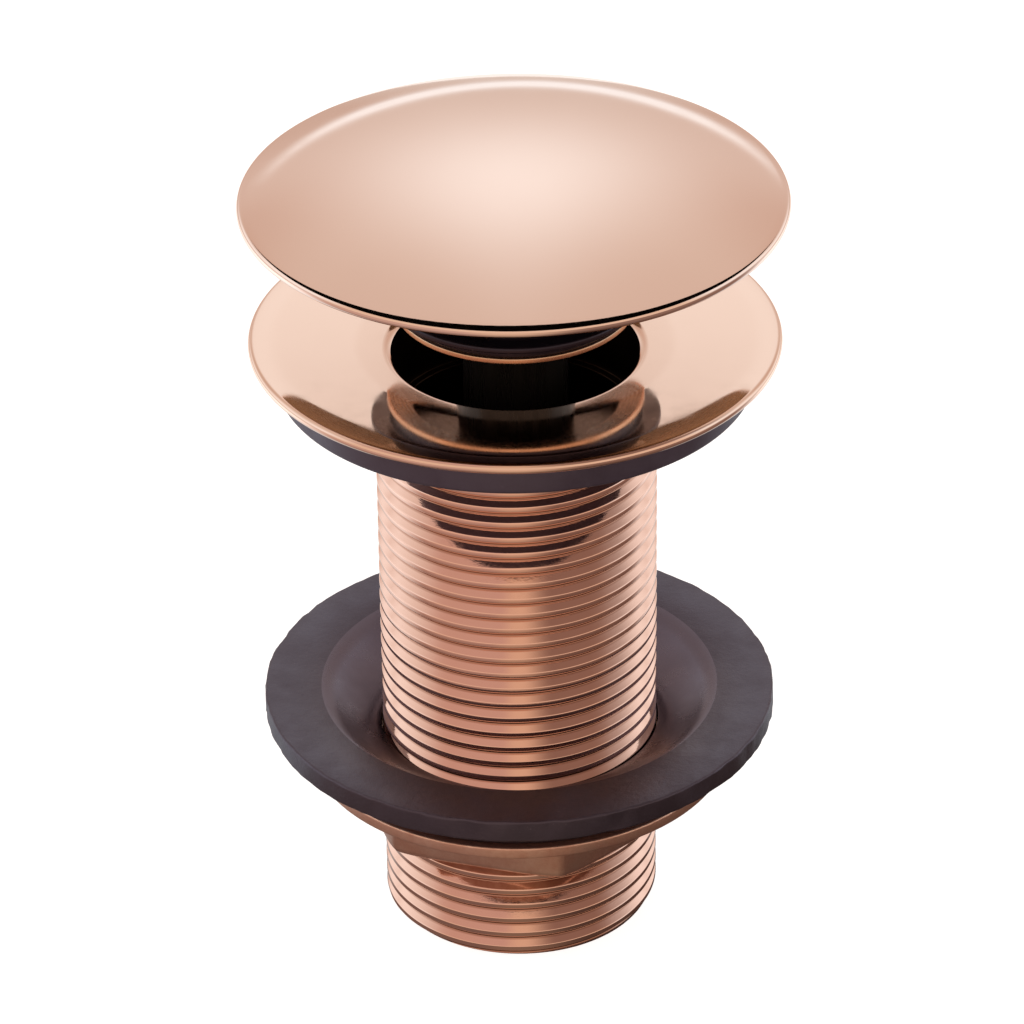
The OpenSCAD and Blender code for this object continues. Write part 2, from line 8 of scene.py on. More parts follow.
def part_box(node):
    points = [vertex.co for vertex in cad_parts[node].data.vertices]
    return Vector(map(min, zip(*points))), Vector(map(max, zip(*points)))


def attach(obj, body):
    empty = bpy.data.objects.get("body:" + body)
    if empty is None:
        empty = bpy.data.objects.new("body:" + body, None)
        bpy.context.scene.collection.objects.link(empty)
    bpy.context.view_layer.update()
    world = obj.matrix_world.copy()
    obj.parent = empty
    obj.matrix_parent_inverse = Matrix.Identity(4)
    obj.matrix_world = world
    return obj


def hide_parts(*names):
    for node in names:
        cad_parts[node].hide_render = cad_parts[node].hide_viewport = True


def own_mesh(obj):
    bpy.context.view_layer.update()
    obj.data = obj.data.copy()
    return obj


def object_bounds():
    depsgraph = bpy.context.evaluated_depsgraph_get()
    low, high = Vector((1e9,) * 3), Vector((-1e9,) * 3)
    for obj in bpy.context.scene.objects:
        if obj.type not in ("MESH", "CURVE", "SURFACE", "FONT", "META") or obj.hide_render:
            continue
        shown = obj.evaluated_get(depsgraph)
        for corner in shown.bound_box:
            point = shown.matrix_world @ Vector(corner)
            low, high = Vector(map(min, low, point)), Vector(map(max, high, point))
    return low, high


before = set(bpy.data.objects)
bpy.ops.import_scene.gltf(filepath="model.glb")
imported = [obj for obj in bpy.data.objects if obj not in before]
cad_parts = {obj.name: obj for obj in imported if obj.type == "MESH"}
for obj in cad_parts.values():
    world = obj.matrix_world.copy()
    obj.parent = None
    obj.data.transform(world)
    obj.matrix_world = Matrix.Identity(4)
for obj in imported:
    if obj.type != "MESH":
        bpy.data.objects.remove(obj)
cad_low, cad_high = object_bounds()

# Camera, as fitted to the photograph's outlines
IMAGE_SIDE = 1024
FOCAL_PIXELS = 5337
SENSOR_WIDTH = 36.0
CAMERA_TARGET = Vector((-0.00078, 0.0, 0.0669))
CAMERA_DISTANCE = 0.80
CAMERA_ELEVATION = math.radians(30.88)
CAMERA_ROLL = math.radians(-0.71)

# Black card over the cap's front rim, in metres: a crescent, below the cap's top by the drop,
# with its inner radius in front and at its ends, its width in front and the power of its taper
FLAG_DROP = 0.0055
FLAG_HALF_ANGLE = math.radians(80)
FLAG_INNER = (0.0389, 0.0417)
FLAG_WIDTH = 0.0073
FLAG_TAPER = 1.7

# Sizes in millimetres that the frame's boxes do not give
MM = 0.001
SEGMENTS = 192
THREAD_PITCH = 2.6
THREAD_FADE = 1.6
# One pitch of the thread: distance along the axis and depth, crest to crest
THREAD_SECTION = [
    (0.0, 0.0), (0.07, 0.012), (0.14, 0.048), (0.19, 0.088), (0.24, 0.137), (0.94, 0.825),
    (0.99, 0.874), (1.04, 0.914), (1.10, 0.94), (1.16, 0.94), (1.22, 0.915), (1.27, 0.865),
    (1.93, 0.105), (1.98, 0.05), (2.05, 0.01), (2.12, 0.0), (THREAD_PITCH, 0.0),
]
TAIL_CHAMFER = 1.0
TAIL_LENGTH = 91.8
TAIL_RADIUS = 20.955
OUTLET_RADIUS = 16.2
TAIL_BORE_RADIUS = 17.2
BRIDGE_SEAT_Z = 30.0
CLIP_GROOVE = (37.0, 38.25, 18.1)
INLET_RADIUS = 18.4
LEDGE_Z = 84.0
SEAT_Z = 95.53
SEAT_RADIUS = 19.6
SEAT_TILT = (12.0, 43.0)
BOWL_RADIUS = 23.5
BOWL_Z = 96.2
BOWL_EDGE_RADIUS = 27.0
BOWL_ROUND = 30.0
FLANGE_EDGE_RADIUS = 0.8
FLANGE_CREST_RADIUS = 35.0
GASKET_TAPER = 0.5
RUBBER_GAP = 0.05
CAP_EDGE_RADIUS = 0.95
CAP_WALL = 1.6
CAP_BOSS_DROP = 1.0
CAP_BOSS_RADIUS = 9.0
STUD_HOLE_RADIUS = 4.05
STUD_IN_CAP = 7.0
LIP_THICKNESS = 0.9
CARRIER_RADIUS = 16.0
RECESS_RADIUS = 13.9
CARRIER_PLATE = 3.0
CARRIER_ROUND = 0.3
LIP_FACE = 0.35
SEAL_SLEEVE_RADIUS = 17.1
SEAL_DISC_RISE = 1.92
SEAL_DISC = 1.0
WASHER_GAP = 0.3
WASHER_EDGE = 3.5
WASHER_FLARE = 0.4
WASHER_DENT = 0.35
WASHER_DENT_SIZE = 2.2
WASHER_DENT_REACH = 3.0
WASHER_RECESS_RADIUS = 30.2
WASHER_RECESS_DEPTH = 6.0
WASHER_FOOT_RADIUS = 31.0
NUT_FLAT = 23.75
NUT_CORNER_LIMIT = 27.0
NUT_CORNER_SHARPNESS = 24.0
NUT_HEX_HEIGHT = 8.4
# How far the hexagon is set in at its foot, and at which heights
NUT_CHAMFER = [(1.1, 0.0), (0.45, 0.18), (0.12, 0.6), (0.0, 1.2)]
NUT_TURN = math.radians(-16.6)
NUT_BORE_RADIUS = 21.035
NUT_BORE_CHAMFER = 0.5
SPRING_TURNS = 12
SPRING_WIRE_RADIUS = 0.45


def box_mm(node):
    """Lowest and highest corner of a CAD node, in millimetres."""
    low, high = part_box(node)
    return low / MM, high / MM


# Outlines


def arc(centre_r, centre_z, radius, start, end, steps):
    """Points of an arc in the (r, z) half plane, angles in degrees from +r towards +z."""
    points = []
    for i in range(steps + 1):
        angle = math.radians(start + (end - start) * i / steps)
        points.append((centre_r + radius * math.cos(angle), centre_z + radius * math.sin(angle)))
    return points


def rounded(corners, radius, steps=4, closed=True):
    """An outline whose corners are rounded, by one radius or by a list with one for each corner."""
    count = len(corners)
    radii = radius if isinstance(radius, (list, tuple)) else [radius] * count
    points = []
    for i, corner in enumerate(corners):
        at_end = not closed and i in (0, count - 1)
        if at_end or radii[i] <= 0:
            points.append(corner)
            continue
        here = Vector(corner)
        to_last = Vector(corners[i - 1]) - here
        to_next = Vector(corners[(i + 1) % count]) - here
        half = to_last.angle(to_next) / 2
        cut = min(radii[i] / math.tan(half), 0.48 * to_last.length, 0.48 * to_next.length)
        first = here + to_last.normalized() * cut
        last = here + to_next.normalized() * cut
        for k in range(steps + 1):
            t = k / steps
            point = first * (1 - t) ** 2 + here * (2 * t * (1 - t)) + last * t ** 2
            points.append((point.x, point.y))
    return points


def sphere_arc(centre_z, radius, from_r, to_r, steps):
    """Points on the upper half of a sphere about the axis, between two distances from the axis."""
    points = []
    for i in range(steps + 1):
        r = from_r + (to_r - from_r) * i / steps
        points.append((r, centre_z + math.sqrt(radius * radius - r * r)))
    return points


# Meshes


def finish_mesh(bm, name, materials, body, node, sharp=40):
    """Turns a bmesh into a piece that rides on a body and stands for a CAD node."""
    bmesh.ops.remove_doubles(bm, verts=bm.verts, dist=1e-7)
    bmesh.ops.dissolve_degenerate(bm, edges=bm.edges, dist=1e-8)
    bmesh.ops.recalc_face_normals(bm, faces=bm.faces)
    mesh = bpy.data.meshes.new(name)
    bm.to_mesh(mesh)
    bm.free()
    mesh.polygons.foreach_set("use_smooth", [True] * len(mesh.polygons))
    mesh.set_sharp_from_angle(angle=math.radians(sharp))
    for material in materials:
        mesh.materials.append(material)
    piece = bpy.data.objects.new(name, mesh)
    bpy.context.scene.collection.objects.link(piece)
    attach(piece, body)
    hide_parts(node)
    return piece


def turned_point(r, angle, z):
    """A point in metres, from its place about the axis in millimetres."""
    return r * math.cos(angle) * MM, r * math.sin(angle) * MM, z * MM


def add_rings(bm, outline, closed, radius_at=None, material=0):
    """Revolves an outline about the axis. radius_at(r, z, angle) may change a ring's radius."""
    rings = []
    for r, z in outline:
        if r < 1e-6:
            rings.append([bm.verts.new((0, 0, z * MM))])
            continue
        ring = []
        for j in range(SEGMENTS):
            angle = 2 * math.pi * j / SEGMENTS
            r_here = radius_at(r, z, angle) if radius_at else r
            ring.append(bm.verts.new(turned_point(r_here, angle, z)))
        rings.append(ring)
    pairs = list(zip(rings, rings[1:]))
    if closed:
        pairs.append((rings[-1], rings[0]))
    for low, high in pairs:
        for j in range(SEGMENTS):
            k = (j + 1) % SEGMENTS
            corners = [low[j % len(low)], low[k % len(low)], high[k % len(high)], high[j % len(high)]]
            unique = list(dict.fromkeys(corners))
            if len(unique) > 2:
                bm.faces.new(unique).material_index = material


def lathe(name, outline, material, body, node, radius_at=None, sharp=40):
    """A turned piece from one closed outline."""
    bm = bmesh.new()
    add_rings(bm, outline, closed=True, radius_at=radius_at)
    return finish_mesh(bm, name, [material], body, node, sharp)


# Materials


class Graph:
    """Short calls for building a node tree."""

    def __init__(self, tree):
        self.tree = tree

    def add(self, kind, **settings):
        node = self.tree.nodes.new("ShaderNode" + kind)
        for key, value in settings.items():
            setattr(node, key, value)
        return node

    def link(self, out_socket, in_socket):
        self.tree.links.new(out_socket, in_socket)

    def put(self, value, socket):
        """Sets a socket to a number, or links it to another node's output."""
        if isinstance(value, (int, float)):
            socket.default_value = value
        else:
            self.link(value, socket)

    def math(self, operation, first, second=None):
        node = self.add("Math", operation=operation)
        self.put(first, node.inputs[0])
        if second is not None:
            self.put(second, node.inputs[1])
        return node.outputs["Value"]

    def remap(self, value, from_low, from_high, to_low, to_high, smooth=False):
        node = self.add("MapRange", interpolation_type="SMOOTHSTEP" if smooth else "LINEAR")
        limits = {"From Min": from_low, "From Max": from_high, "To Min": to_low, "To Max": to_high}
        for key, number in limits.items():
            node.inputs[key].default_value = number
        self.link(value, node.inputs["Value"])
        return node.outputs["Result"]

    def mix(self, factor, first, second):
        node = self.add("Mix", data_type="RGBA")
        for socket, colour in ((node.inputs[6], first), (node.inputs[7], second)):
            if isinstance(colour, tuple):
                socket.default_value = colour + (1.0,)
            else:
                self.link(colour, socket)
        self.link(factor, node.inputs[0])
        return node.outputs[2]

    def position(self):
        return self.add("TexCoord").outputs["Object"]


class Finish(Graph):
    """A material made of one principled shader."""

    def __init__(self, name, **values):
        self.material = bpy.data.materials.new(name)
        self.material.use_nodes = True
        super().__init__(self.material.node_tree)
        self.shader = self.tree.nodes["Principled BSDF"]
        for key, value in values.items():
            self.shader.inputs[key.replace("_", " ")].default_value = value

    def noise(self, scale, detail=4.0, roughness=0.55, stretch=None):
        """Noise over the object's own metres, scale in features per metre."""
        node = self.add("TexNoise")
        node.inputs["Scale"].default_value = scale
        node.inputs["Detail"].default_value = detail
        node.inputs["Roughness"].default_value = roughness
        source = self.position()
        if stretch:
            mapping = self.add("Mapping")
            mapping.inputs["Scale"].default_value = stretch
            self.link(source, mapping.inputs["Vector"])
            source = mapping.outputs["Vector"]
        self.link(source, node.inputs["Vector"])
        return node.outputs["Fac"]

    def axis_distance(self):
        """Distance from the object's own axis, in metres."""
        flat = self.add("VectorMath", operation="MULTIPLY")
        flat.inputs[1].default_value = (1, 1, 0)
        self.link(self.position(), flat.inputs[0])
        length = self.add("VectorMath", operation="LENGTH")
        self.link(flat.outputs["Vector"], length.inputs[0])
        return length.outputs["Value"]

    def bump(self, height, strength, distance):
        node = self.add("Bump")
        node.inputs["Strength"].default_value = strength
        node.inputs["Distance"].default_value = distance
        self.link(height, node.inputs["Height"])
        return node.outputs["Normal"]

    def use(self, colour, roughness, normal=None):
        self.link(colour, self.shader.inputs["Base Color"])
        self.link(roughness, self.shader.inputs["Roughness"])
        if normal is not None:
            self.link(normal, self.shader.inputs["Normal"])
        return self.material


def rose_gold_material(name, pale, deep):
    """Polished rose-gold plate with faint clouding and fine wipe marks."""
    n = Finish(name, Metallic=1.0)
    colour = n.mix(n.noise(45, detail=3), pale, deep)
    smear = n.noise(260, detail=5, stretch=(1, 1, 0.25))
    return n.use(colour, n.remap(smear, 0.35, 0.75, 0.045, 0.10))


def thread_material():
    """The same plate on the tail, with painted shade darkening the roots of the thread."""
    n = Finish("rose_gold_tail", Metallic=1.0)
    # Painted shade: the base colour is darkened towards the roots of the thread
    depth = n.remap(n.axis_distance(), (TAIL_RADIUS - 0.92) * MM, (TAIL_RADIUS - 0.7) * MM, 0.0, 1.0)
    colour = n.mix(depth, (0.50, 0.26, 0.18), (0.91, 0.59, 0.47))
    roughness = n.remap(n.noise(900, detail=4), 0.3, 0.7, 0.03, 0.10)
    ripple = n.noise(1500, detail=3, stretch=(1, 1, 4))
    return n.use(colour, roughness, n.bump(ripple, 0.10, 0.00003))


def shaded_bore_material():
    """Unplated inside of the tail, dull, its colour near black as painted shade."""
    n = Finish("tail_bore_painted_shade", Metallic=1.0)
    shade_mottle = n.noise(160, detail=5, stretch=(1, 1, 0.4))
    # Painted shade: both colours are near black to stand for the shade inside the tail, varied by a
    # random mottle
    colour = n.mix(shade_mottle, (0.030, 0.017, 0.011), (0.075, 0.042, 0.026))
    return n.use(colour, n.remap(shade_mottle, 0.3, 0.7, 0.30, 0.46))


def rubber_material(name, dark, light, ior, gloss, grain_scale, grain_depth):
    """Moulded rubber: fine grain, dusty patches and pale specks."""
    n = Finish(name, Metallic=0.0, IOR=ior, Specular_Tint=(0.92, 0.78, 1.0, 1.0))
    dust = n.remap(n.noise(120, detail=6, roughness=0.65), 0.40, 0.72, 0.0, 1.0)
    specks = n.remap(n.noise(2600, detail=2), 0.70, 0.76, 0.0, 0.35)
    colour = n.mix(specks, n.mix(dust, dark, light), (0.16, 0.14, 0.145))
    roughness = n.remap(dust, 0.0, 1.0, gloss, gloss + 0.16)
    grain = n.noise(grain_scale, detail=6, roughness=0.7)
    return n.use(colour, roughness, n.bump(grain, 0.35, grain_depth))


def cast_brass_material():
    """Plated cast face of the nut: mottled, softly rough, with small pits."""
    n = Finish("cast_brass_face", Metallic=1.0)
    mottle = n.remap(n.noise(330, detail=7, roughness=0.65), 0.3, 0.7, 0.0, 1.0)
    colour = n.mix(mottle, (0.74, 0.42, 0.31), (0.94, 0.65, 0.51))
    roughness = n.remap(mottle, 0.0, 1.0, 0.46, 0.28)
    grain = n.noise(1300, detail=6, roughness=0.7)
    return n.use(colour, roughness, n.bump(grain, 0.55, 0.00010))


def turned_brass_material(name, pale, deep):
    """Bare brass with the concentric marks of a lathe tool."""
    n = Finish(name, Metallic=1.0)
    turns = n.math("SINE", n.math("MULTIPLY", n.axis_distance(), 2 * math.pi / (0.6 * MM)))
    colour = n.mix(n.noise(200), pale, deep)
    roughness = n.remap(n.noise(700), 0.3, 0.7, 0.20, 0.34)
    return n.use(colour, roughness, n.bump(turns, 0.8, 0.00006))


def plastic_material():
    """Moulded black plastic with faint drawing lines along the column."""
    n = Finish("black_plastic", Metallic=0.0, IOR=1.48)
    streak = n.noise(700, detail=3, stretch=(1, 1, 0.06))
    colour = n.mix(streak, (0.008, 0.007, 0.006), (0.018, 0.015, 0.013))
    return n.use(colour, n.remap(streak, 0.3, 0.7, 0.22, 0.36))


def steel_material():
    """Plain stainless steel with a fine brushed grain."""
    n = Finish("plain_steel", Metallic=1.0)
    grain = n.noise(1800, detail=4, stretch=(1, 1, 0.2))
    colour = n.mix(grain, (0.50, 0.50, 0.51), (0.66, 0.66, 0.67))
    return n.use(colour, n.remap(grain, 0.3, 0.7, 0.24, 0.38))


CAP_GOLD = rose_gold_material("rose_gold_cap", (0.945, 0.715, 0.605), (0.925, 0.690, 0.580))
FLANGE_GOLD = rose_gold_material("rose_gold_flange", (0.915, 0.655, 0.525), (0.895, 0.630, 0.500))
TAIL_GOLD = thread_material()
HOLLOW_SHADE = shaded_bore_material()
CAST_BRASS = cast_brass_material()
# Painted shade: this brass is a much darker copy of the lip's brass, for the shaded underside of the
# plug and the parts inside
SHADED_TURNED_BRASS = turned_brass_material("turned_brass", (0.34, 0.205, 0.115), (0.20, 0.115, 0.06))
LIP_BRASS = turned_brass_material("lip_brass", (0.80, 0.53, 0.36), (0.66, 0.42, 0.27))
PLASTIC = plastic_material()
STEEL = steel_material()
GASKET_RUBBER = rubber_material(
    "gasket_rubber", (0.034, 0.028, 0.045), (0.056, 0.049, 0.073), 1.80, 0.40, 1500, 0.00006)
WASHER_RUBBER = rubber_material(
    "washer_rubber", (0.006, 0.005, 0.008), (0.013, 0.011, 0.017), 1.95, 0.38, 1100, 0.00022)
WASHER_DISH_RUBBER = rubber_material(
    "washer_dish_rubber", (0.008, 0.006, 0.009), (0.014, 0.011, 0.016), 2.30, 0.26, 1100, 0.00006)
SEAL_RUBBER = rubber_material(
    "seal_rubber", (0.006, 0.005, 0.009), (0.012, 0.010, 0.017), 1.55, 0.26, 2200, 0.00003)


# Mushroom cap


def build_cap():
    low, high = box_mm("mushroom_cap")
    edge_r = high.x - CAP_EDGE_RADIUS
    edge_z = low.z + CAP_BOSS_DROP + CAP_EDGE_RADIUS
    drop = high.z - edge_z
    dome = (drop ** 2 + edge_r ** 2 - CAP_EDGE_RADIUS ** 2) / (2 * (drop - CAP_EDGE_RADIUS))
    centre = high.z - dome
    touch_r = edge_r * dome / (dome - CAP_EDGE_RADIUS)
    touch_angle = math.degrees(math.asin(touch_r / dome))
    inner = dome - CAP_WALL
    boss_join = CAP_BOSS_RADIUS + 1.2
    top = sphere_arc(centre, dome, 0.0, touch_r, 40)
    top += arc(edge_r, edge_z, CAP_EDGE_RADIUS, 90 - touch_angle, -84, 16)[1:]
    underside = [top[-1]] + sphere_arc(centre, inner, edge_r - 0.4, boss_join, 24)
    boss = [
        underside[-1],
        (CAP_BOSS_RADIUS, underside[-1][1] - 0.9),
        (CAP_BOSS_RADIUS, low.z),
        (STUD_HOLE_RADIUS, low.z),
        (STUD_HOLE_RADIUS, low.z + STUD_IN_CAP),
        (0.0, low.z + STUD_IN_CAP),
    ]
    underside += rounded(boss, 0.4, closed=False)[1:]
    materials = [CAP_GOLD, SHADED_TURNED_BRASS]
    bm = bmesh.new()
    for index, outline in enumerate((top, underside)):
        add_rings(bm, outline, closed=False, material=index)
    finish_mesh(bm, "cap_dome", materials, "plug", "mushroom_cap")


# Flange and threaded tail


def thread_depth(share):
    """Depth of the thread below its crest at a share of one pitch, in millimetres."""
    along = share * THREAD_PITCH
    for (start, depth), (end, next_depth) in zip(THREAD_SECTION, THREAD_SECTION[1:]):
        if along <= end:
            return depth + (next_depth - depth) * (along - start) / (end - start)
    return 0.0


def add_thread(bm, material):
    """Right-hand helical thread on the tail, its grid laid along the helix."""
    shares = [along / THREAD_PITCH for along, depth in THREAD_SECTION[:-1]]
    turns = math.ceil(TAIL_LENGTH / THREAD_PITCH) + 2
    steps = [turn + share for turn in range(-2, turns) for share in shares]
    columns = []
    for j in range(SEGMENTS):
        turned = j / SEGMENTS
        angle = 2 * math.pi * turned
        column = []
        for pitches in steps:
            z = min(max((pitches + turned) * THREAD_PITCH, 0.0), TAIL_LENGTH)
            depth = thread_depth((z / THREAD_PITCH - turned) % 1.0)
            fade = min(1.0, (TAIL_LENGTH - z) / THREAD_FADE)
            r = min(TAIL_RADIUS - depth * fade, TAIL_RADIUS - TAIL_CHAMFER + z)
            column.append(bm.verts.new(turned_point(r, angle, z)))
        columns.append(column)
    columns.append(columns[0][len(shares):])
    for left, right in zip(columns, columns[1:]):
        for low in range(len(columns[-1]) - 1):
            corners = [left[low], right[low], right[low + 1], left[low + 1]]
            places = {tuple(round(c, 8) for c in v.co) for v in corners}
            if len(places) > 2:
                bm.faces.new(corners).material_index = material


def build_body():
    high = box_mm("waste_body")[1]
    edge_r = high.x - FLANGE_EDGE_RADIUS
    slope = (high.z - BOWL_Z) / (edge_r - BOWL_RADIUS)
    groove_low, groove_high, groove_r = CLIP_GROOVE

    def dish_z(r):
        """Height of the dish: a flat cone whose slope dies away towards the rim."""
        past = max(0.0, r - FLANGE_CREST_RADIUS)
        return BOWL_Z + slope * (r - BOWL_RADIUS - past ** 2 / (2 * (edge_r - FLANGE_CREST_RADIUS)))

    edge_z = dish_z(edge_r) - FLANGE_EDGE_RADIUS
    flange = [(TAIL_RADIUS, TAIL_LENGTH)]
    flange += arc(edge_r, edge_z, FLANGE_EDGE_RADIUS, -90, 90, 24)
    flange += [(r, dish_z(r)) for r in (38, 37.5, 37, 36.5, 36, 35.5, 35, 34, 32, 30, 28)]
    bowl = [
        (BOWL_EDGE_RADIUS, dish_z(BOWL_EDGE_RADIUS)),
        (BOWL_RADIUS, BOWL_Z),
        (SEAT_RADIUS + 0.05, SEAT_Z + 0.01),
    ]
    flange += rounded(bowl, BOWL_ROUND, steps=8, closed=False)
    first, last = (math.radians(tilt) for tilt in SEAT_TILT)
    bend = (SEAT_RADIUS - INLET_RADIUS) / (math.sin(last) - math.sin(first))
    bend_r = SEAT_RADIUS + bend * math.sin(first)
    bend_z = SEAT_Z - bend * math.cos(first)
    flange += arc(bend_r, bend_z, bend, 90 + SEAT_TILT[0], 90 + SEAT_TILT[1], 8)
    bore = [
        flange[-1],
        (INLET_RADIUS, LEDGE_Z),
        (TAIL_BORE_RADIUS, LEDGE_Z),
        (TAIL_BORE_RADIUS, groove_high),
        (groove_r, groove_high),
        (groove_r, groove_low),
        (TAIL_BORE_RADIUS, groove_low),
        (TAIL_BORE_RADIUS, BRIDGE_SEAT_Z),
        (OUTLET_RADIUS, BRIDGE_SEAT_Z),
        (OUTLET_RADIUS, 0.0),
        (TAIL_RADIUS - TAIL_CHAMFER, 0.0),
    ]
    bore = rounded(bore, 0.25, steps=3, closed=False)
    materials = [FLANGE_GOLD, HOLLOW_SHADE, TAIL_GOLD]
    bm = bmesh.new()
    add_rings(bm, flange, closed=False, material=materials.index(FLANGE_GOLD))
    add_rings(bm, bore, closed=False, material=materials.index(HOLLOW_SHADE))
    add_thread(bm, materials.index(TAIL_GOLD))
    finish_mesh(bm, "flange_and_tail", materials, "waste", "waste_body", sharp=32)


# Rubber pieces


def build_gasket():
    low, high = box_mm("flange_gasket")
    inner_r = TAIL_RADIUS + RUBBER_GAP
    corners = [
        (inner_r, low.z),
        (high.x - GASKET_TAPER, low.z),
        (high.x, high.z),
        (inner_r, TAIL_LENGTH + 0.02),
    ]
    outline = rounded(corners, [0.1, 0.9, 0.5, 0.1], steps=6)
    lathe("basin_gasket", outline, GASKET_RUBBER, "waste", "flange_gasket")


def worn(amount, size, reach, edge_r):
    """Small fixed dents that only take material away, strongest at a rim."""
    def radius_at(r, z, angle):
        near_rim = max(0.0, 1.0 - (edge_r - r) / reach)
        point = Vector((math.cos(angle) * r, math.sin(angle) * r, z)) / size
        dent = abs(noise.noise(point)) + 0.5 * abs(noise.noise(point * 2.7))
        return r - amount * near_rim * dent
    return radius_at


def build_washer():
    low, high = box_mm("back_washer")
    inner_r = TAIL_RADIUS + WASHER_GAP
    rim_base = high.z - WASHER_EDGE
    floor = high.z - WASHER_RECESS_DEPTH
    shoulder = high.x - (rim_base - low.z) * WASHER_FLARE
    outside = [
        (inner_r, floor),
        (inner_r, low.z),
        (WASHER_FOOT_RADIUS, low.z),
        (shoulder, rim_base),
        (high.x, rim_base),
        (high.x, high.z),
        (WASHER_RECESS_RADIUS, high.z),
    ]
    dish = [
        (WASHER_RECESS_RADIUS, high.z),
        ((WASHER_RECESS_RADIUS + inner_r) / 2 + 0.3, (high.z + floor) / 2 - 0.3),
        (inner_r, floor),
    ]
    wear = worn(WASHER_DENT, WASHER_DENT_SIZE, WASHER_DENT_REACH, high.x)
    bm = bmesh.new()
    outside = rounded(outside, [0, 0.2, 0.8, 0.8, 0.5, 0.45, 0], steps=6, closed=False)
    dish = rounded(dish, 60.0, steps=10, closed=False)
    add_rings(bm, outside, closed=False, radius_at=wear)
    add_rings(bm, dish, closed=False, material=1)
    materials = [WASHER_RUBBER, WASHER_DISH_RUBBER]
    finish_mesh(bm, "clamp_washer", materials, "washer", "back_washer", sharp=60)


def build_seal():
    low, high = box_mm("plug_seal")
    inner_r = CARRIER_RADIUS + RUBBER_GAP
    disc_z = low.z + SEAL_DISC_RISE
    corners = [
        (inner_r, low.z),
        (SEAL_SLEEVE_RADIUS, low.z),
        (SEAL_SLEEVE_RADIUS, disc_z),
        (high.x, disc_z),
        (high.x, disc_z + SEAL_DISC),
        (SEAL_SLEEVE_RADIUS, disc_z + SEAL_DISC),
        (SEAL_SLEEVE_RADIUS, high.z),
        (inner_r, high.z),
    ]
    outline = rounded(corners, [0, 0.2, 0.3, 0.25, 0.45, 0.8, 0.2, 0], steps=5)
    lathe("plug_seal_ring", outline, SEAL_RUBBER, "plug", "plug_seal")


# Backnut


def build_nut():
    low, high = box_mm("backnut")
    collar_z = low.z + NUT_HEX_HEIGHT
    hex_mark = NUT_CORNER_LIMIT + 10

    def radius_at(r, z, angle):
        """Rings drawn at the mark follow a hexagon with rounded corners, set in by what r lacks."""
        if r < hex_mark - 2.5:
            return r
        from_flat = (angle + math.pi / 6) % (math.pi / 3) - math.pi / 6
        flat = NUT_FLAT / math.cos(from_flat)
        power = -NUT_CORNER_SHARPNESS
        soft = (flat ** power + NUT_CORNER_LIMIT ** power) ** (1 / power)
        return soft - (hex_mark - r)

    collar = rounded(
        [(NUT_FLAT - 1.5, collar_z), (high.x, collar_z), (high.x, high.z), (NUT_BORE_RADIUS, high.z)],
        [0, 0.35, 0.35, 0], closed=False,
    )
    outline = [(NUT_BORE_RADIUS + NUT_BORE_CHAMFER, low.z)]
    outline += [(hex_mark - inset, low.z + rise) for inset, rise in NUT_CHAMFER]
    outline += [(hex_mark, collar_z)] + collar[1:]
    outline += [(NUT_BORE_RADIUS, low.z + NUT_BORE_CHAMFER)]
    nut = lathe("hex_backnut", outline, CAST_BRASS, "nut", "backnut", radius_at, sharp=50)
    nut.data.transform(Matrix.Rotation(NUT_TURN + math.pi / 6, 4, "Z"))


# Plug carrier


def build_carrier():
    low, high = box_mm("plug_carrier")
    lip_top = low.z + LIP_THICKNESS
    plate = high.z - CARRIER_PLATE
    edge = high.x - LIP_FACE
    recess = [(STUD_HOLE_RADIUS, plate), (RECESS_RADIUS, plate), (RECESS_RADIUS, low.z + CARRIER_ROUND)]
    face = [recess[-1], (RECESS_RADIUS + CARRIER_ROUND, low.z), (edge, low.z)]
    lip = [(edge, low.z), (high.x, low.z), (high.x, lip_top), (CARRIER_RADIUS, lip_top)]
    rest = [(CARRIER_RADIUS, lip_top), (CARRIER_RADIUS, high.z), (STUD_HOLE_RADIUS, high.z), recess[0]]
    # The recess takes the near-black bore colour as painted shade; the underside brass is the darker,
    # shaded copy
    materials = [HOLLOW_SHADE, SHADED_TURNED_BRASS, LIP_BRASS, SHADED_TURNED_BRASS]
    bm = bmesh.new()
    for index, outline in enumerate((recess, face, lip, rest)):
        add_rings(bm, rounded(outline, CARRIER_ROUND, closed=False), closed=False, material=index)
    finish_mesh(bm, "seal_carrier", materials, "plug", "plug_carrier")


# Return spring


def build_spring():
    """Coil with closed ends."""
    low, high = box_mm("return_spring")
    wire = SPRING_WIRE_RADIUS
    coil_r = high.x - wire
    bottom, top = low.z + wire, high.z - wire
    pitch = (top - bottom - 4 * wire) / (SPRING_TURNS - 2)
    steps, sides = 32, 10
    bm = bmesh.new()
    rings = []
    for i in range(SPRING_TURNS * steps + 1):
        turn = i / steps
        angle = 2 * math.pi * turn
        active = min(max(turn - 1, 0.0), SPRING_TURNS - 2)
        closed = turn - active
        z = bottom + 2 * wire * closed + pitch * active
        ring = []
        for j in range(sides):
            around = 2 * math.pi * j / sides
            r = coil_r + wire * math.cos(around)
            ring.append(bm.verts.new(turned_point(r, angle, z + wire * math.sin(around))))
        rings.append(ring)
    for left, right in zip(rings, rings[1:]):
        for j in range(sides):
            k = (j + 1) % sides
            bm.faces.new((left[j], right[j], right[k], left[k]))
    for end in (rings[0], rings[-1]):
        bm.faces.new(end)
    coil = finish_mesh(bm, "return_coil", [STEEL], "waste", "return_spring")
    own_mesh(coil)


BUILDERS = (
    build_cap,
    build_body,
    build_gasket,
    build_washer,
    build_seal,
    build_nut,
    build_carrier,
    build_spring,
)
for build in BUILDERS:
    build()

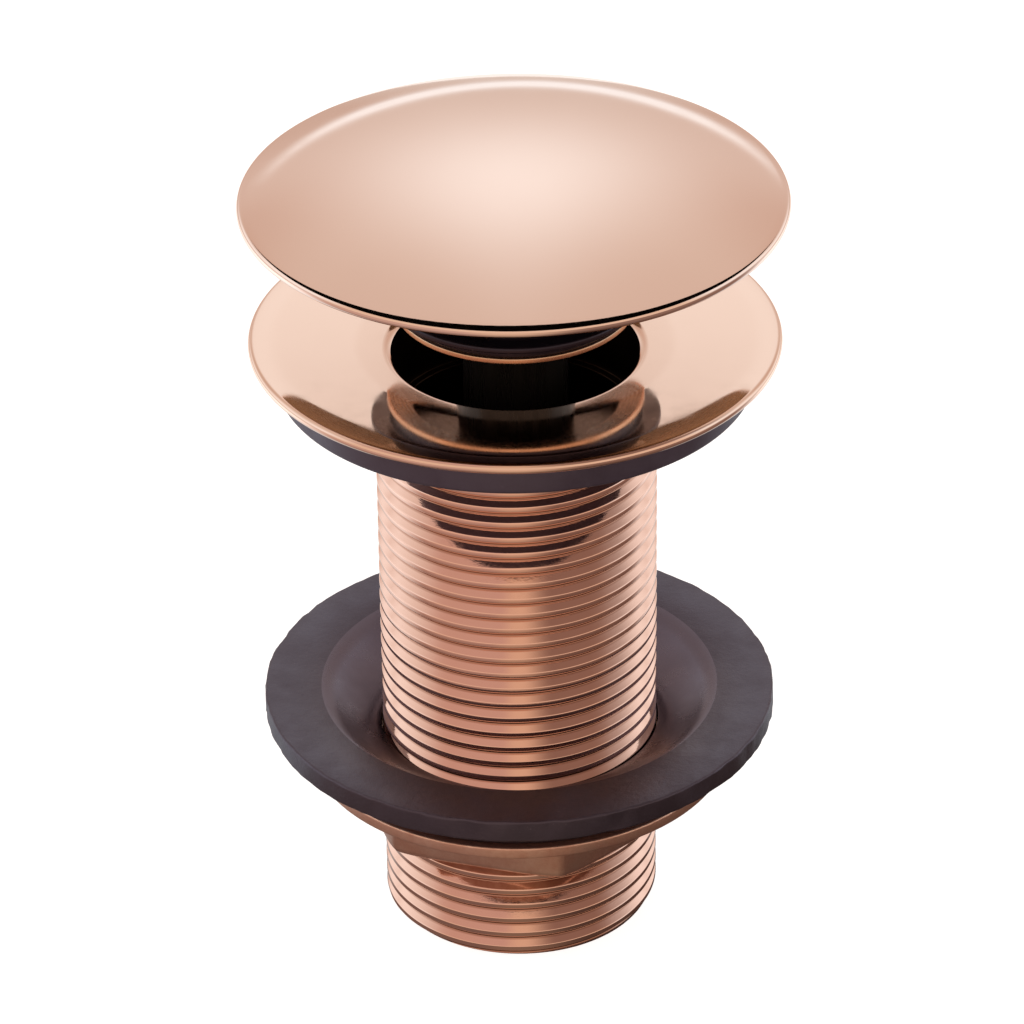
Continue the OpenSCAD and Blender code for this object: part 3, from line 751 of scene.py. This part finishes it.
# CAD nodes that stay as they are get their finish here
NODE_FINISH = {
    "cap_gasket": GASKET_RUBBER,
    "seal_clamp": SHADED_TURNED_BRASS,
    "cap_stud": SHADED_TURNED_BRASS,
    "stud_nut": SHADED_TURNED_BRASS,
    "post_nut": SHADED_TURNED_BRASS,
    "follower_ring": SHADED_TURNED_BRASS,
    "plunger_sleeve": PLASTIC,
    "sleeve_retainer": PLASTIC,
    "cam_post": PLASTIC,
    "bridge": PLASTIC,
    "bridge_clip": STEEL,
    "post_washer": STEEL,
    "thrust_washer": STEEL,
    "follower_pins": STEEL,
}
for node_name, finish in NODE_FINISH.items():
    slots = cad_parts[node_name].data.materials
    slots.clear()
    slots.append(finish)


# Stage

# Colours that the object mirrors: in front of it, behind it, and on the floor behind it
FRONT_PINK = (0.60, 0.42, 0.37)
FRONT_GOLD = (0.72, 0.53, 0.41)
FRONT_BROWN = (0.27, 0.175, 0.145)
FRONT_WALL = (0.80, 0.63, 0.51)
BACK_WARM = (0.725, 0.615, 0.555)
BACK_DEEP = (0.63, 0.47, 0.395)
FLOOR_BACK = (1.08, 1.05, 1.02)
FLOOR_BACK_SIDES = (1.35, 1.40, 1.45)
WHITE_LIGHT = (1.05, 1.09, 1.12)


def surroundings(g, source, back, back_sides):
    """Colour by bearing: pink in front on the left, brown in front on the right, light behind."""
    level = g.add("VectorMath", operation="MULTIPLY")
    level.inputs[1].default_value = (1, 1, 0)
    g.link(source, level.inputs[0])
    bearing = g.add("VectorMath", operation="NORMALIZE")
    g.link(level.outputs["Vector"], bearing.inputs[0])
    parts = g.add("SeparateXYZ")
    g.link(bearing.outputs["Vector"], parts.inputs["Vector"])
    x, y = parts.outputs["X"], parts.outputs["Y"]
    left = g.mix(g.remap(x, -0.40, -0.10, 0.0, 1.0, smooth=True), FRONT_PINK, FRONT_GOLD)
    front = g.mix(g.remap(x, -0.02, 0.55, 0.0, 1.0, smooth=True), left, FRONT_BROWN)
    rear = g.mix(g.remap(g.math("ABSOLUTE", x), 0.60, 0.95, 0.0, 1.0, smooth=True), back, back_sides)
    behind = g.math("SUBTRACT", y, g.math("MULTIPLY", x, 0.17))
    return g.mix(g.remap(behind, -0.10, 0.42, 0.0, 1.0, smooth=True), front, rear)


def build_floor():
    """White floor with the object's shadow; mirrored, it is bright behind and warm in front, with a
    painted shadow that darkens it near the object.
    """
    bpy.ops.mesh.primitive_plane_add(size=1.2, location=(0, 0, 0))
    floor = bpy.context.object
    floor.name = "studio_floor"
    material = bpy.data.materials.new("studio_floor_white")
    material.use_nodes = True
    material.node_tree.nodes.clear()
    g = Graph(material.node_tree)
    path = g.add("LightPath")
    mirrored = g.add("Emission")
    distance = g.add("VectorMath", operation="LENGTH")
    g.link(g.position(), distance.inputs[0])
    colour = surroundings(g, g.position(), FLOOR_BACK, FLOOR_BACK_SIDES)
    g.link(colour, mirrored.inputs["Color"])
    # Painted shadow: in reflections the floor's glow is dimmed near the object
    g.link(g.remap(distance.outputs["Value"], 0.03, 0.20, 0.32, 1.0), mirrored.inputs["Strength"])
    white = g.add("Emission")
    g.link(g.math("MULTIPLY", path.outputs["Is Camera Ray"], 0.85), white.inputs["Strength"])
    diffuse = g.add("BsdfDiffuse")
    diffuse.inputs["Color"].default_value = (0.72, 0.72, 0.72, 1)
    seen = g.add("AddShader")
    g.link(diffuse.outputs["BSDF"], seen.inputs[0])
    g.link(white.outputs["Emission"], seen.inputs[1])
    choose = g.add("MixShader")
    g.link(path.outputs["Is Glossy Ray"], choose.inputs[0])
    g.link(seen.outputs["Shader"], choose.inputs[1])
    g.link(mirrored.outputs["Emission"], choose.inputs[2])
    g.link(choose.outputs["Shader"], g.add("OutputMaterial").inputs["Surface"])
    floor.data.materials.append(material)


def build_flag():
    """Black card over the front of the cap, seen only in reflections, for the dark line on the rim."""
    bm = bmesh.new()
    height = cad_high.z - FLAG_DROP
    steps = 48
    rows = []
    for i in range(steps + 1):
        share = 2 * i / steps - 1
        angle = FLAG_HALF_ANGLE * share
        inner = FLAG_INNER[0] + (FLAG_INNER[1] - FLAG_INNER[0]) * share ** 2
        outer = inner + FLAG_WIDTH * (1.0001 - share ** 2) ** FLAG_TAPER
        across = Vector((math.sin(angle), -math.cos(angle), 0))
        lift = Vector((0, 0, height))
        rows.append([bm.verts.new(across * r + lift) for r in (inner, outer)])
    for (a, b), (c, d) in zip(rows, rows[1:]):
        bm.faces.new((a, b, d, c))
    mesh = bpy.data.meshes.new("rim_flag")
    bm.to_mesh(mesh)
    bm.free()
    material = bpy.data.materials.new("black_card")
    material.use_nodes = True
    shader = material.node_tree.nodes["Principled BSDF"]
    shader.inputs["Base Color"].default_value = (0.002, 0.002, 0.002, 1)
    shader.inputs["Specular IOR Level"].default_value = 0.0
    mesh.materials.append(material)
    flag = bpy.data.objects.new("rim_flag", mesh)
    bpy.context.scene.collection.objects.link(flag)
    flag.visible_camera = False
    flag.visible_diffuse = False
    flag.visible_shadow = False


def build_world():
    """Warm surroundings with a soft white light behind the object."""
    world = bpy.data.worlds.new("studio")
    bpy.context.scene.world = world
    world.use_nodes = True
    world.node_tree.nodes.clear()
    g = Graph(world.node_tree)
    direction = g.add("TexCoord").outputs["Generated"]
    parts = g.add("SeparateXYZ")
    g.link(direction, parts.inputs["Vector"])
    x, y, z = (parts.outputs[axis] for axis in "XYZ")
    elevation = g.math("ARCSINE", z)
    bearing = g.math("ARCTAN2", x, y)
    turn = g.math("ABSOLUTE", bearing)

    def ramp(value, start, end, first, last, smooth=False):
        """First up to the start angle and last from the end angle on, both angles in degrees."""
        return g.remap(value, math.radians(start), math.radians(end), first, last, smooth)

    def bell(value, middle, width):
        """A soft hump about an angle; its width is in degrees, or in radians from another node."""
        spread = math.radians(width) if isinstance(width, (int, float)) else width
        share = g.math("DIVIDE", g.math("SUBTRACT", value, math.radians(middle)), spread)
        return g.math("EXPONENT", g.math("MULTIPLY", g.math("MULTIPLY", share, share), -0.5))

    # Soft light behind the object
    window = g.math("MULTIPLY", bell(elevation, 37, 15.5), bell(turn, 0, 12.5))
    # Bright edge of the backdrop, lowest behind the object, thinner and fainter to the sides
    edge_turn = g.math("ABSOLUTE", g.math("SUBTRACT", bearing, math.radians(1)))
    rise = g.math("MULTIPLY", edge_turn, 1.25)
    bend = math.radians(4.75)
    rise = g.math("SQRT", g.math("ADD", g.math("MULTIPLY", rise, rise), bend ** 2))
    from_edge = g.math("SUBTRACT", elevation, g.math("SUBTRACT", rise, bend))
    edge_width = ramp(edge_turn, 0, 15, math.radians(2.0), math.radians(0.8))
    edge = g.math("MULTIPLY", bell(from_edge, -4.7, edge_width), ramp(edge_turn, 7, 21, 1.2, 0.0))
    # Bright walls low on both sides
    wall_turn = g.math("MINIMUM", turn, math.radians(48))
    wall_end = ramp(turn, 96, 112, 1.0, 0.0)
    low_walls = g.math("MULTIPLY", bell(elevation, 9, 8), bell(wall_turn, 48, 14))
    side_turn = ramp(turn, 44, 64, 0.0, 1.0)
    side_walls = g.math("MULTIPLY", bell(elevation, 17, 11), side_turn)
    walls = g.math("MULTIPLY", g.math("MAXIMUM", low_walls, side_walls), wall_end)
    white_share = g.math("MINIMUM", g.math("ADD", g.math("ADD", window, edge), walls), 1.0)

    warm = surroundings(g, direction, BACK_WARM, BACK_WARM)
    # Deeper colour behind the object, to both sides and under the backdrop's edge
    lower = ramp(elevation, 22, 48, 1.0, 0.0, smooth=True)
    aside = g.math("MULTIPLY", ramp(turn, 4, 24, 0.0, 1.0), lower)
    under = g.math("MULTIPLY", ramp(from_edge, -7, -4.7, 1.0, 0.0), ramp(edge_turn, 2, 8, 0.0, 1.0))
    deep = g.math("MULTIPLY", g.math("MAXIMUM", aside, under), ramp(turn, 36, 60, 1.0, 0.0))
    warm = g.mix(deep, warm, BACK_DEEP)
    # Lighter wall in front, below the height that the thread mirrors
    below = ramp(elevation, 24, 36, 1.0, 0.0, smooth=True)
    front_wall = g.math("MULTIPLY", below, g.remap(y, 0.0, -0.3, 0.0, 1.0, smooth=True))
    warm = g.mix(front_wall, warm, FRONT_WALL)
    light = g.add("Background")
    g.link(g.mix(white_share, warm, WHITE_LIGHT), light.inputs["Color"])
    white = g.add("Background")
    white.inputs["Color"].default_value = (1, 1, 1, 1)
    choose = g.add("MixShader")
    g.link(g.add("LightPath").outputs["Is Camera Ray"], choose.inputs[0])
    g.link(light.outputs[0], choose.inputs[1])
    g.link(white.outputs[0], choose.inputs[2])
    g.link(choose.outputs[0], g.add("OutputWorld").inputs["Surface"])


def build_camera():
    data = bpy.data.cameras.new("photo_camera")
    data.sensor_width = SENSOR_WIDTH
    data.lens = FOCAL_PIXELS / IMAGE_SIDE * SENSOR_WIDTH
    data.clip_start = 0.01
    camera = bpy.data.objects.new("photo_camera", data)
    back = Vector((0, -math.cos(CAMERA_ELEVATION), math.sin(CAMERA_ELEVATION)))
    level_right = Vector((1, 0, 0))
    level_up = back.cross(level_right)
    right = level_right * math.cos(CAMERA_ROLL) + level_up * math.sin(CAMERA_ROLL)
    up = back.cross(right)
    place = CAMERA_TARGET + back * CAMERA_DISTANCE
    turned = Matrix((right, up, back)).transposed().to_4x4()
    camera.matrix_world = Matrix.Translation(place) @ turned
    bpy.context.scene.collection.objects.link(camera)
    bpy.context.scene.camera = camera


build_floor()
build_flag()
build_world()
build_camera()
bpy.context.scene.view_settings.view_transform = "Standard"
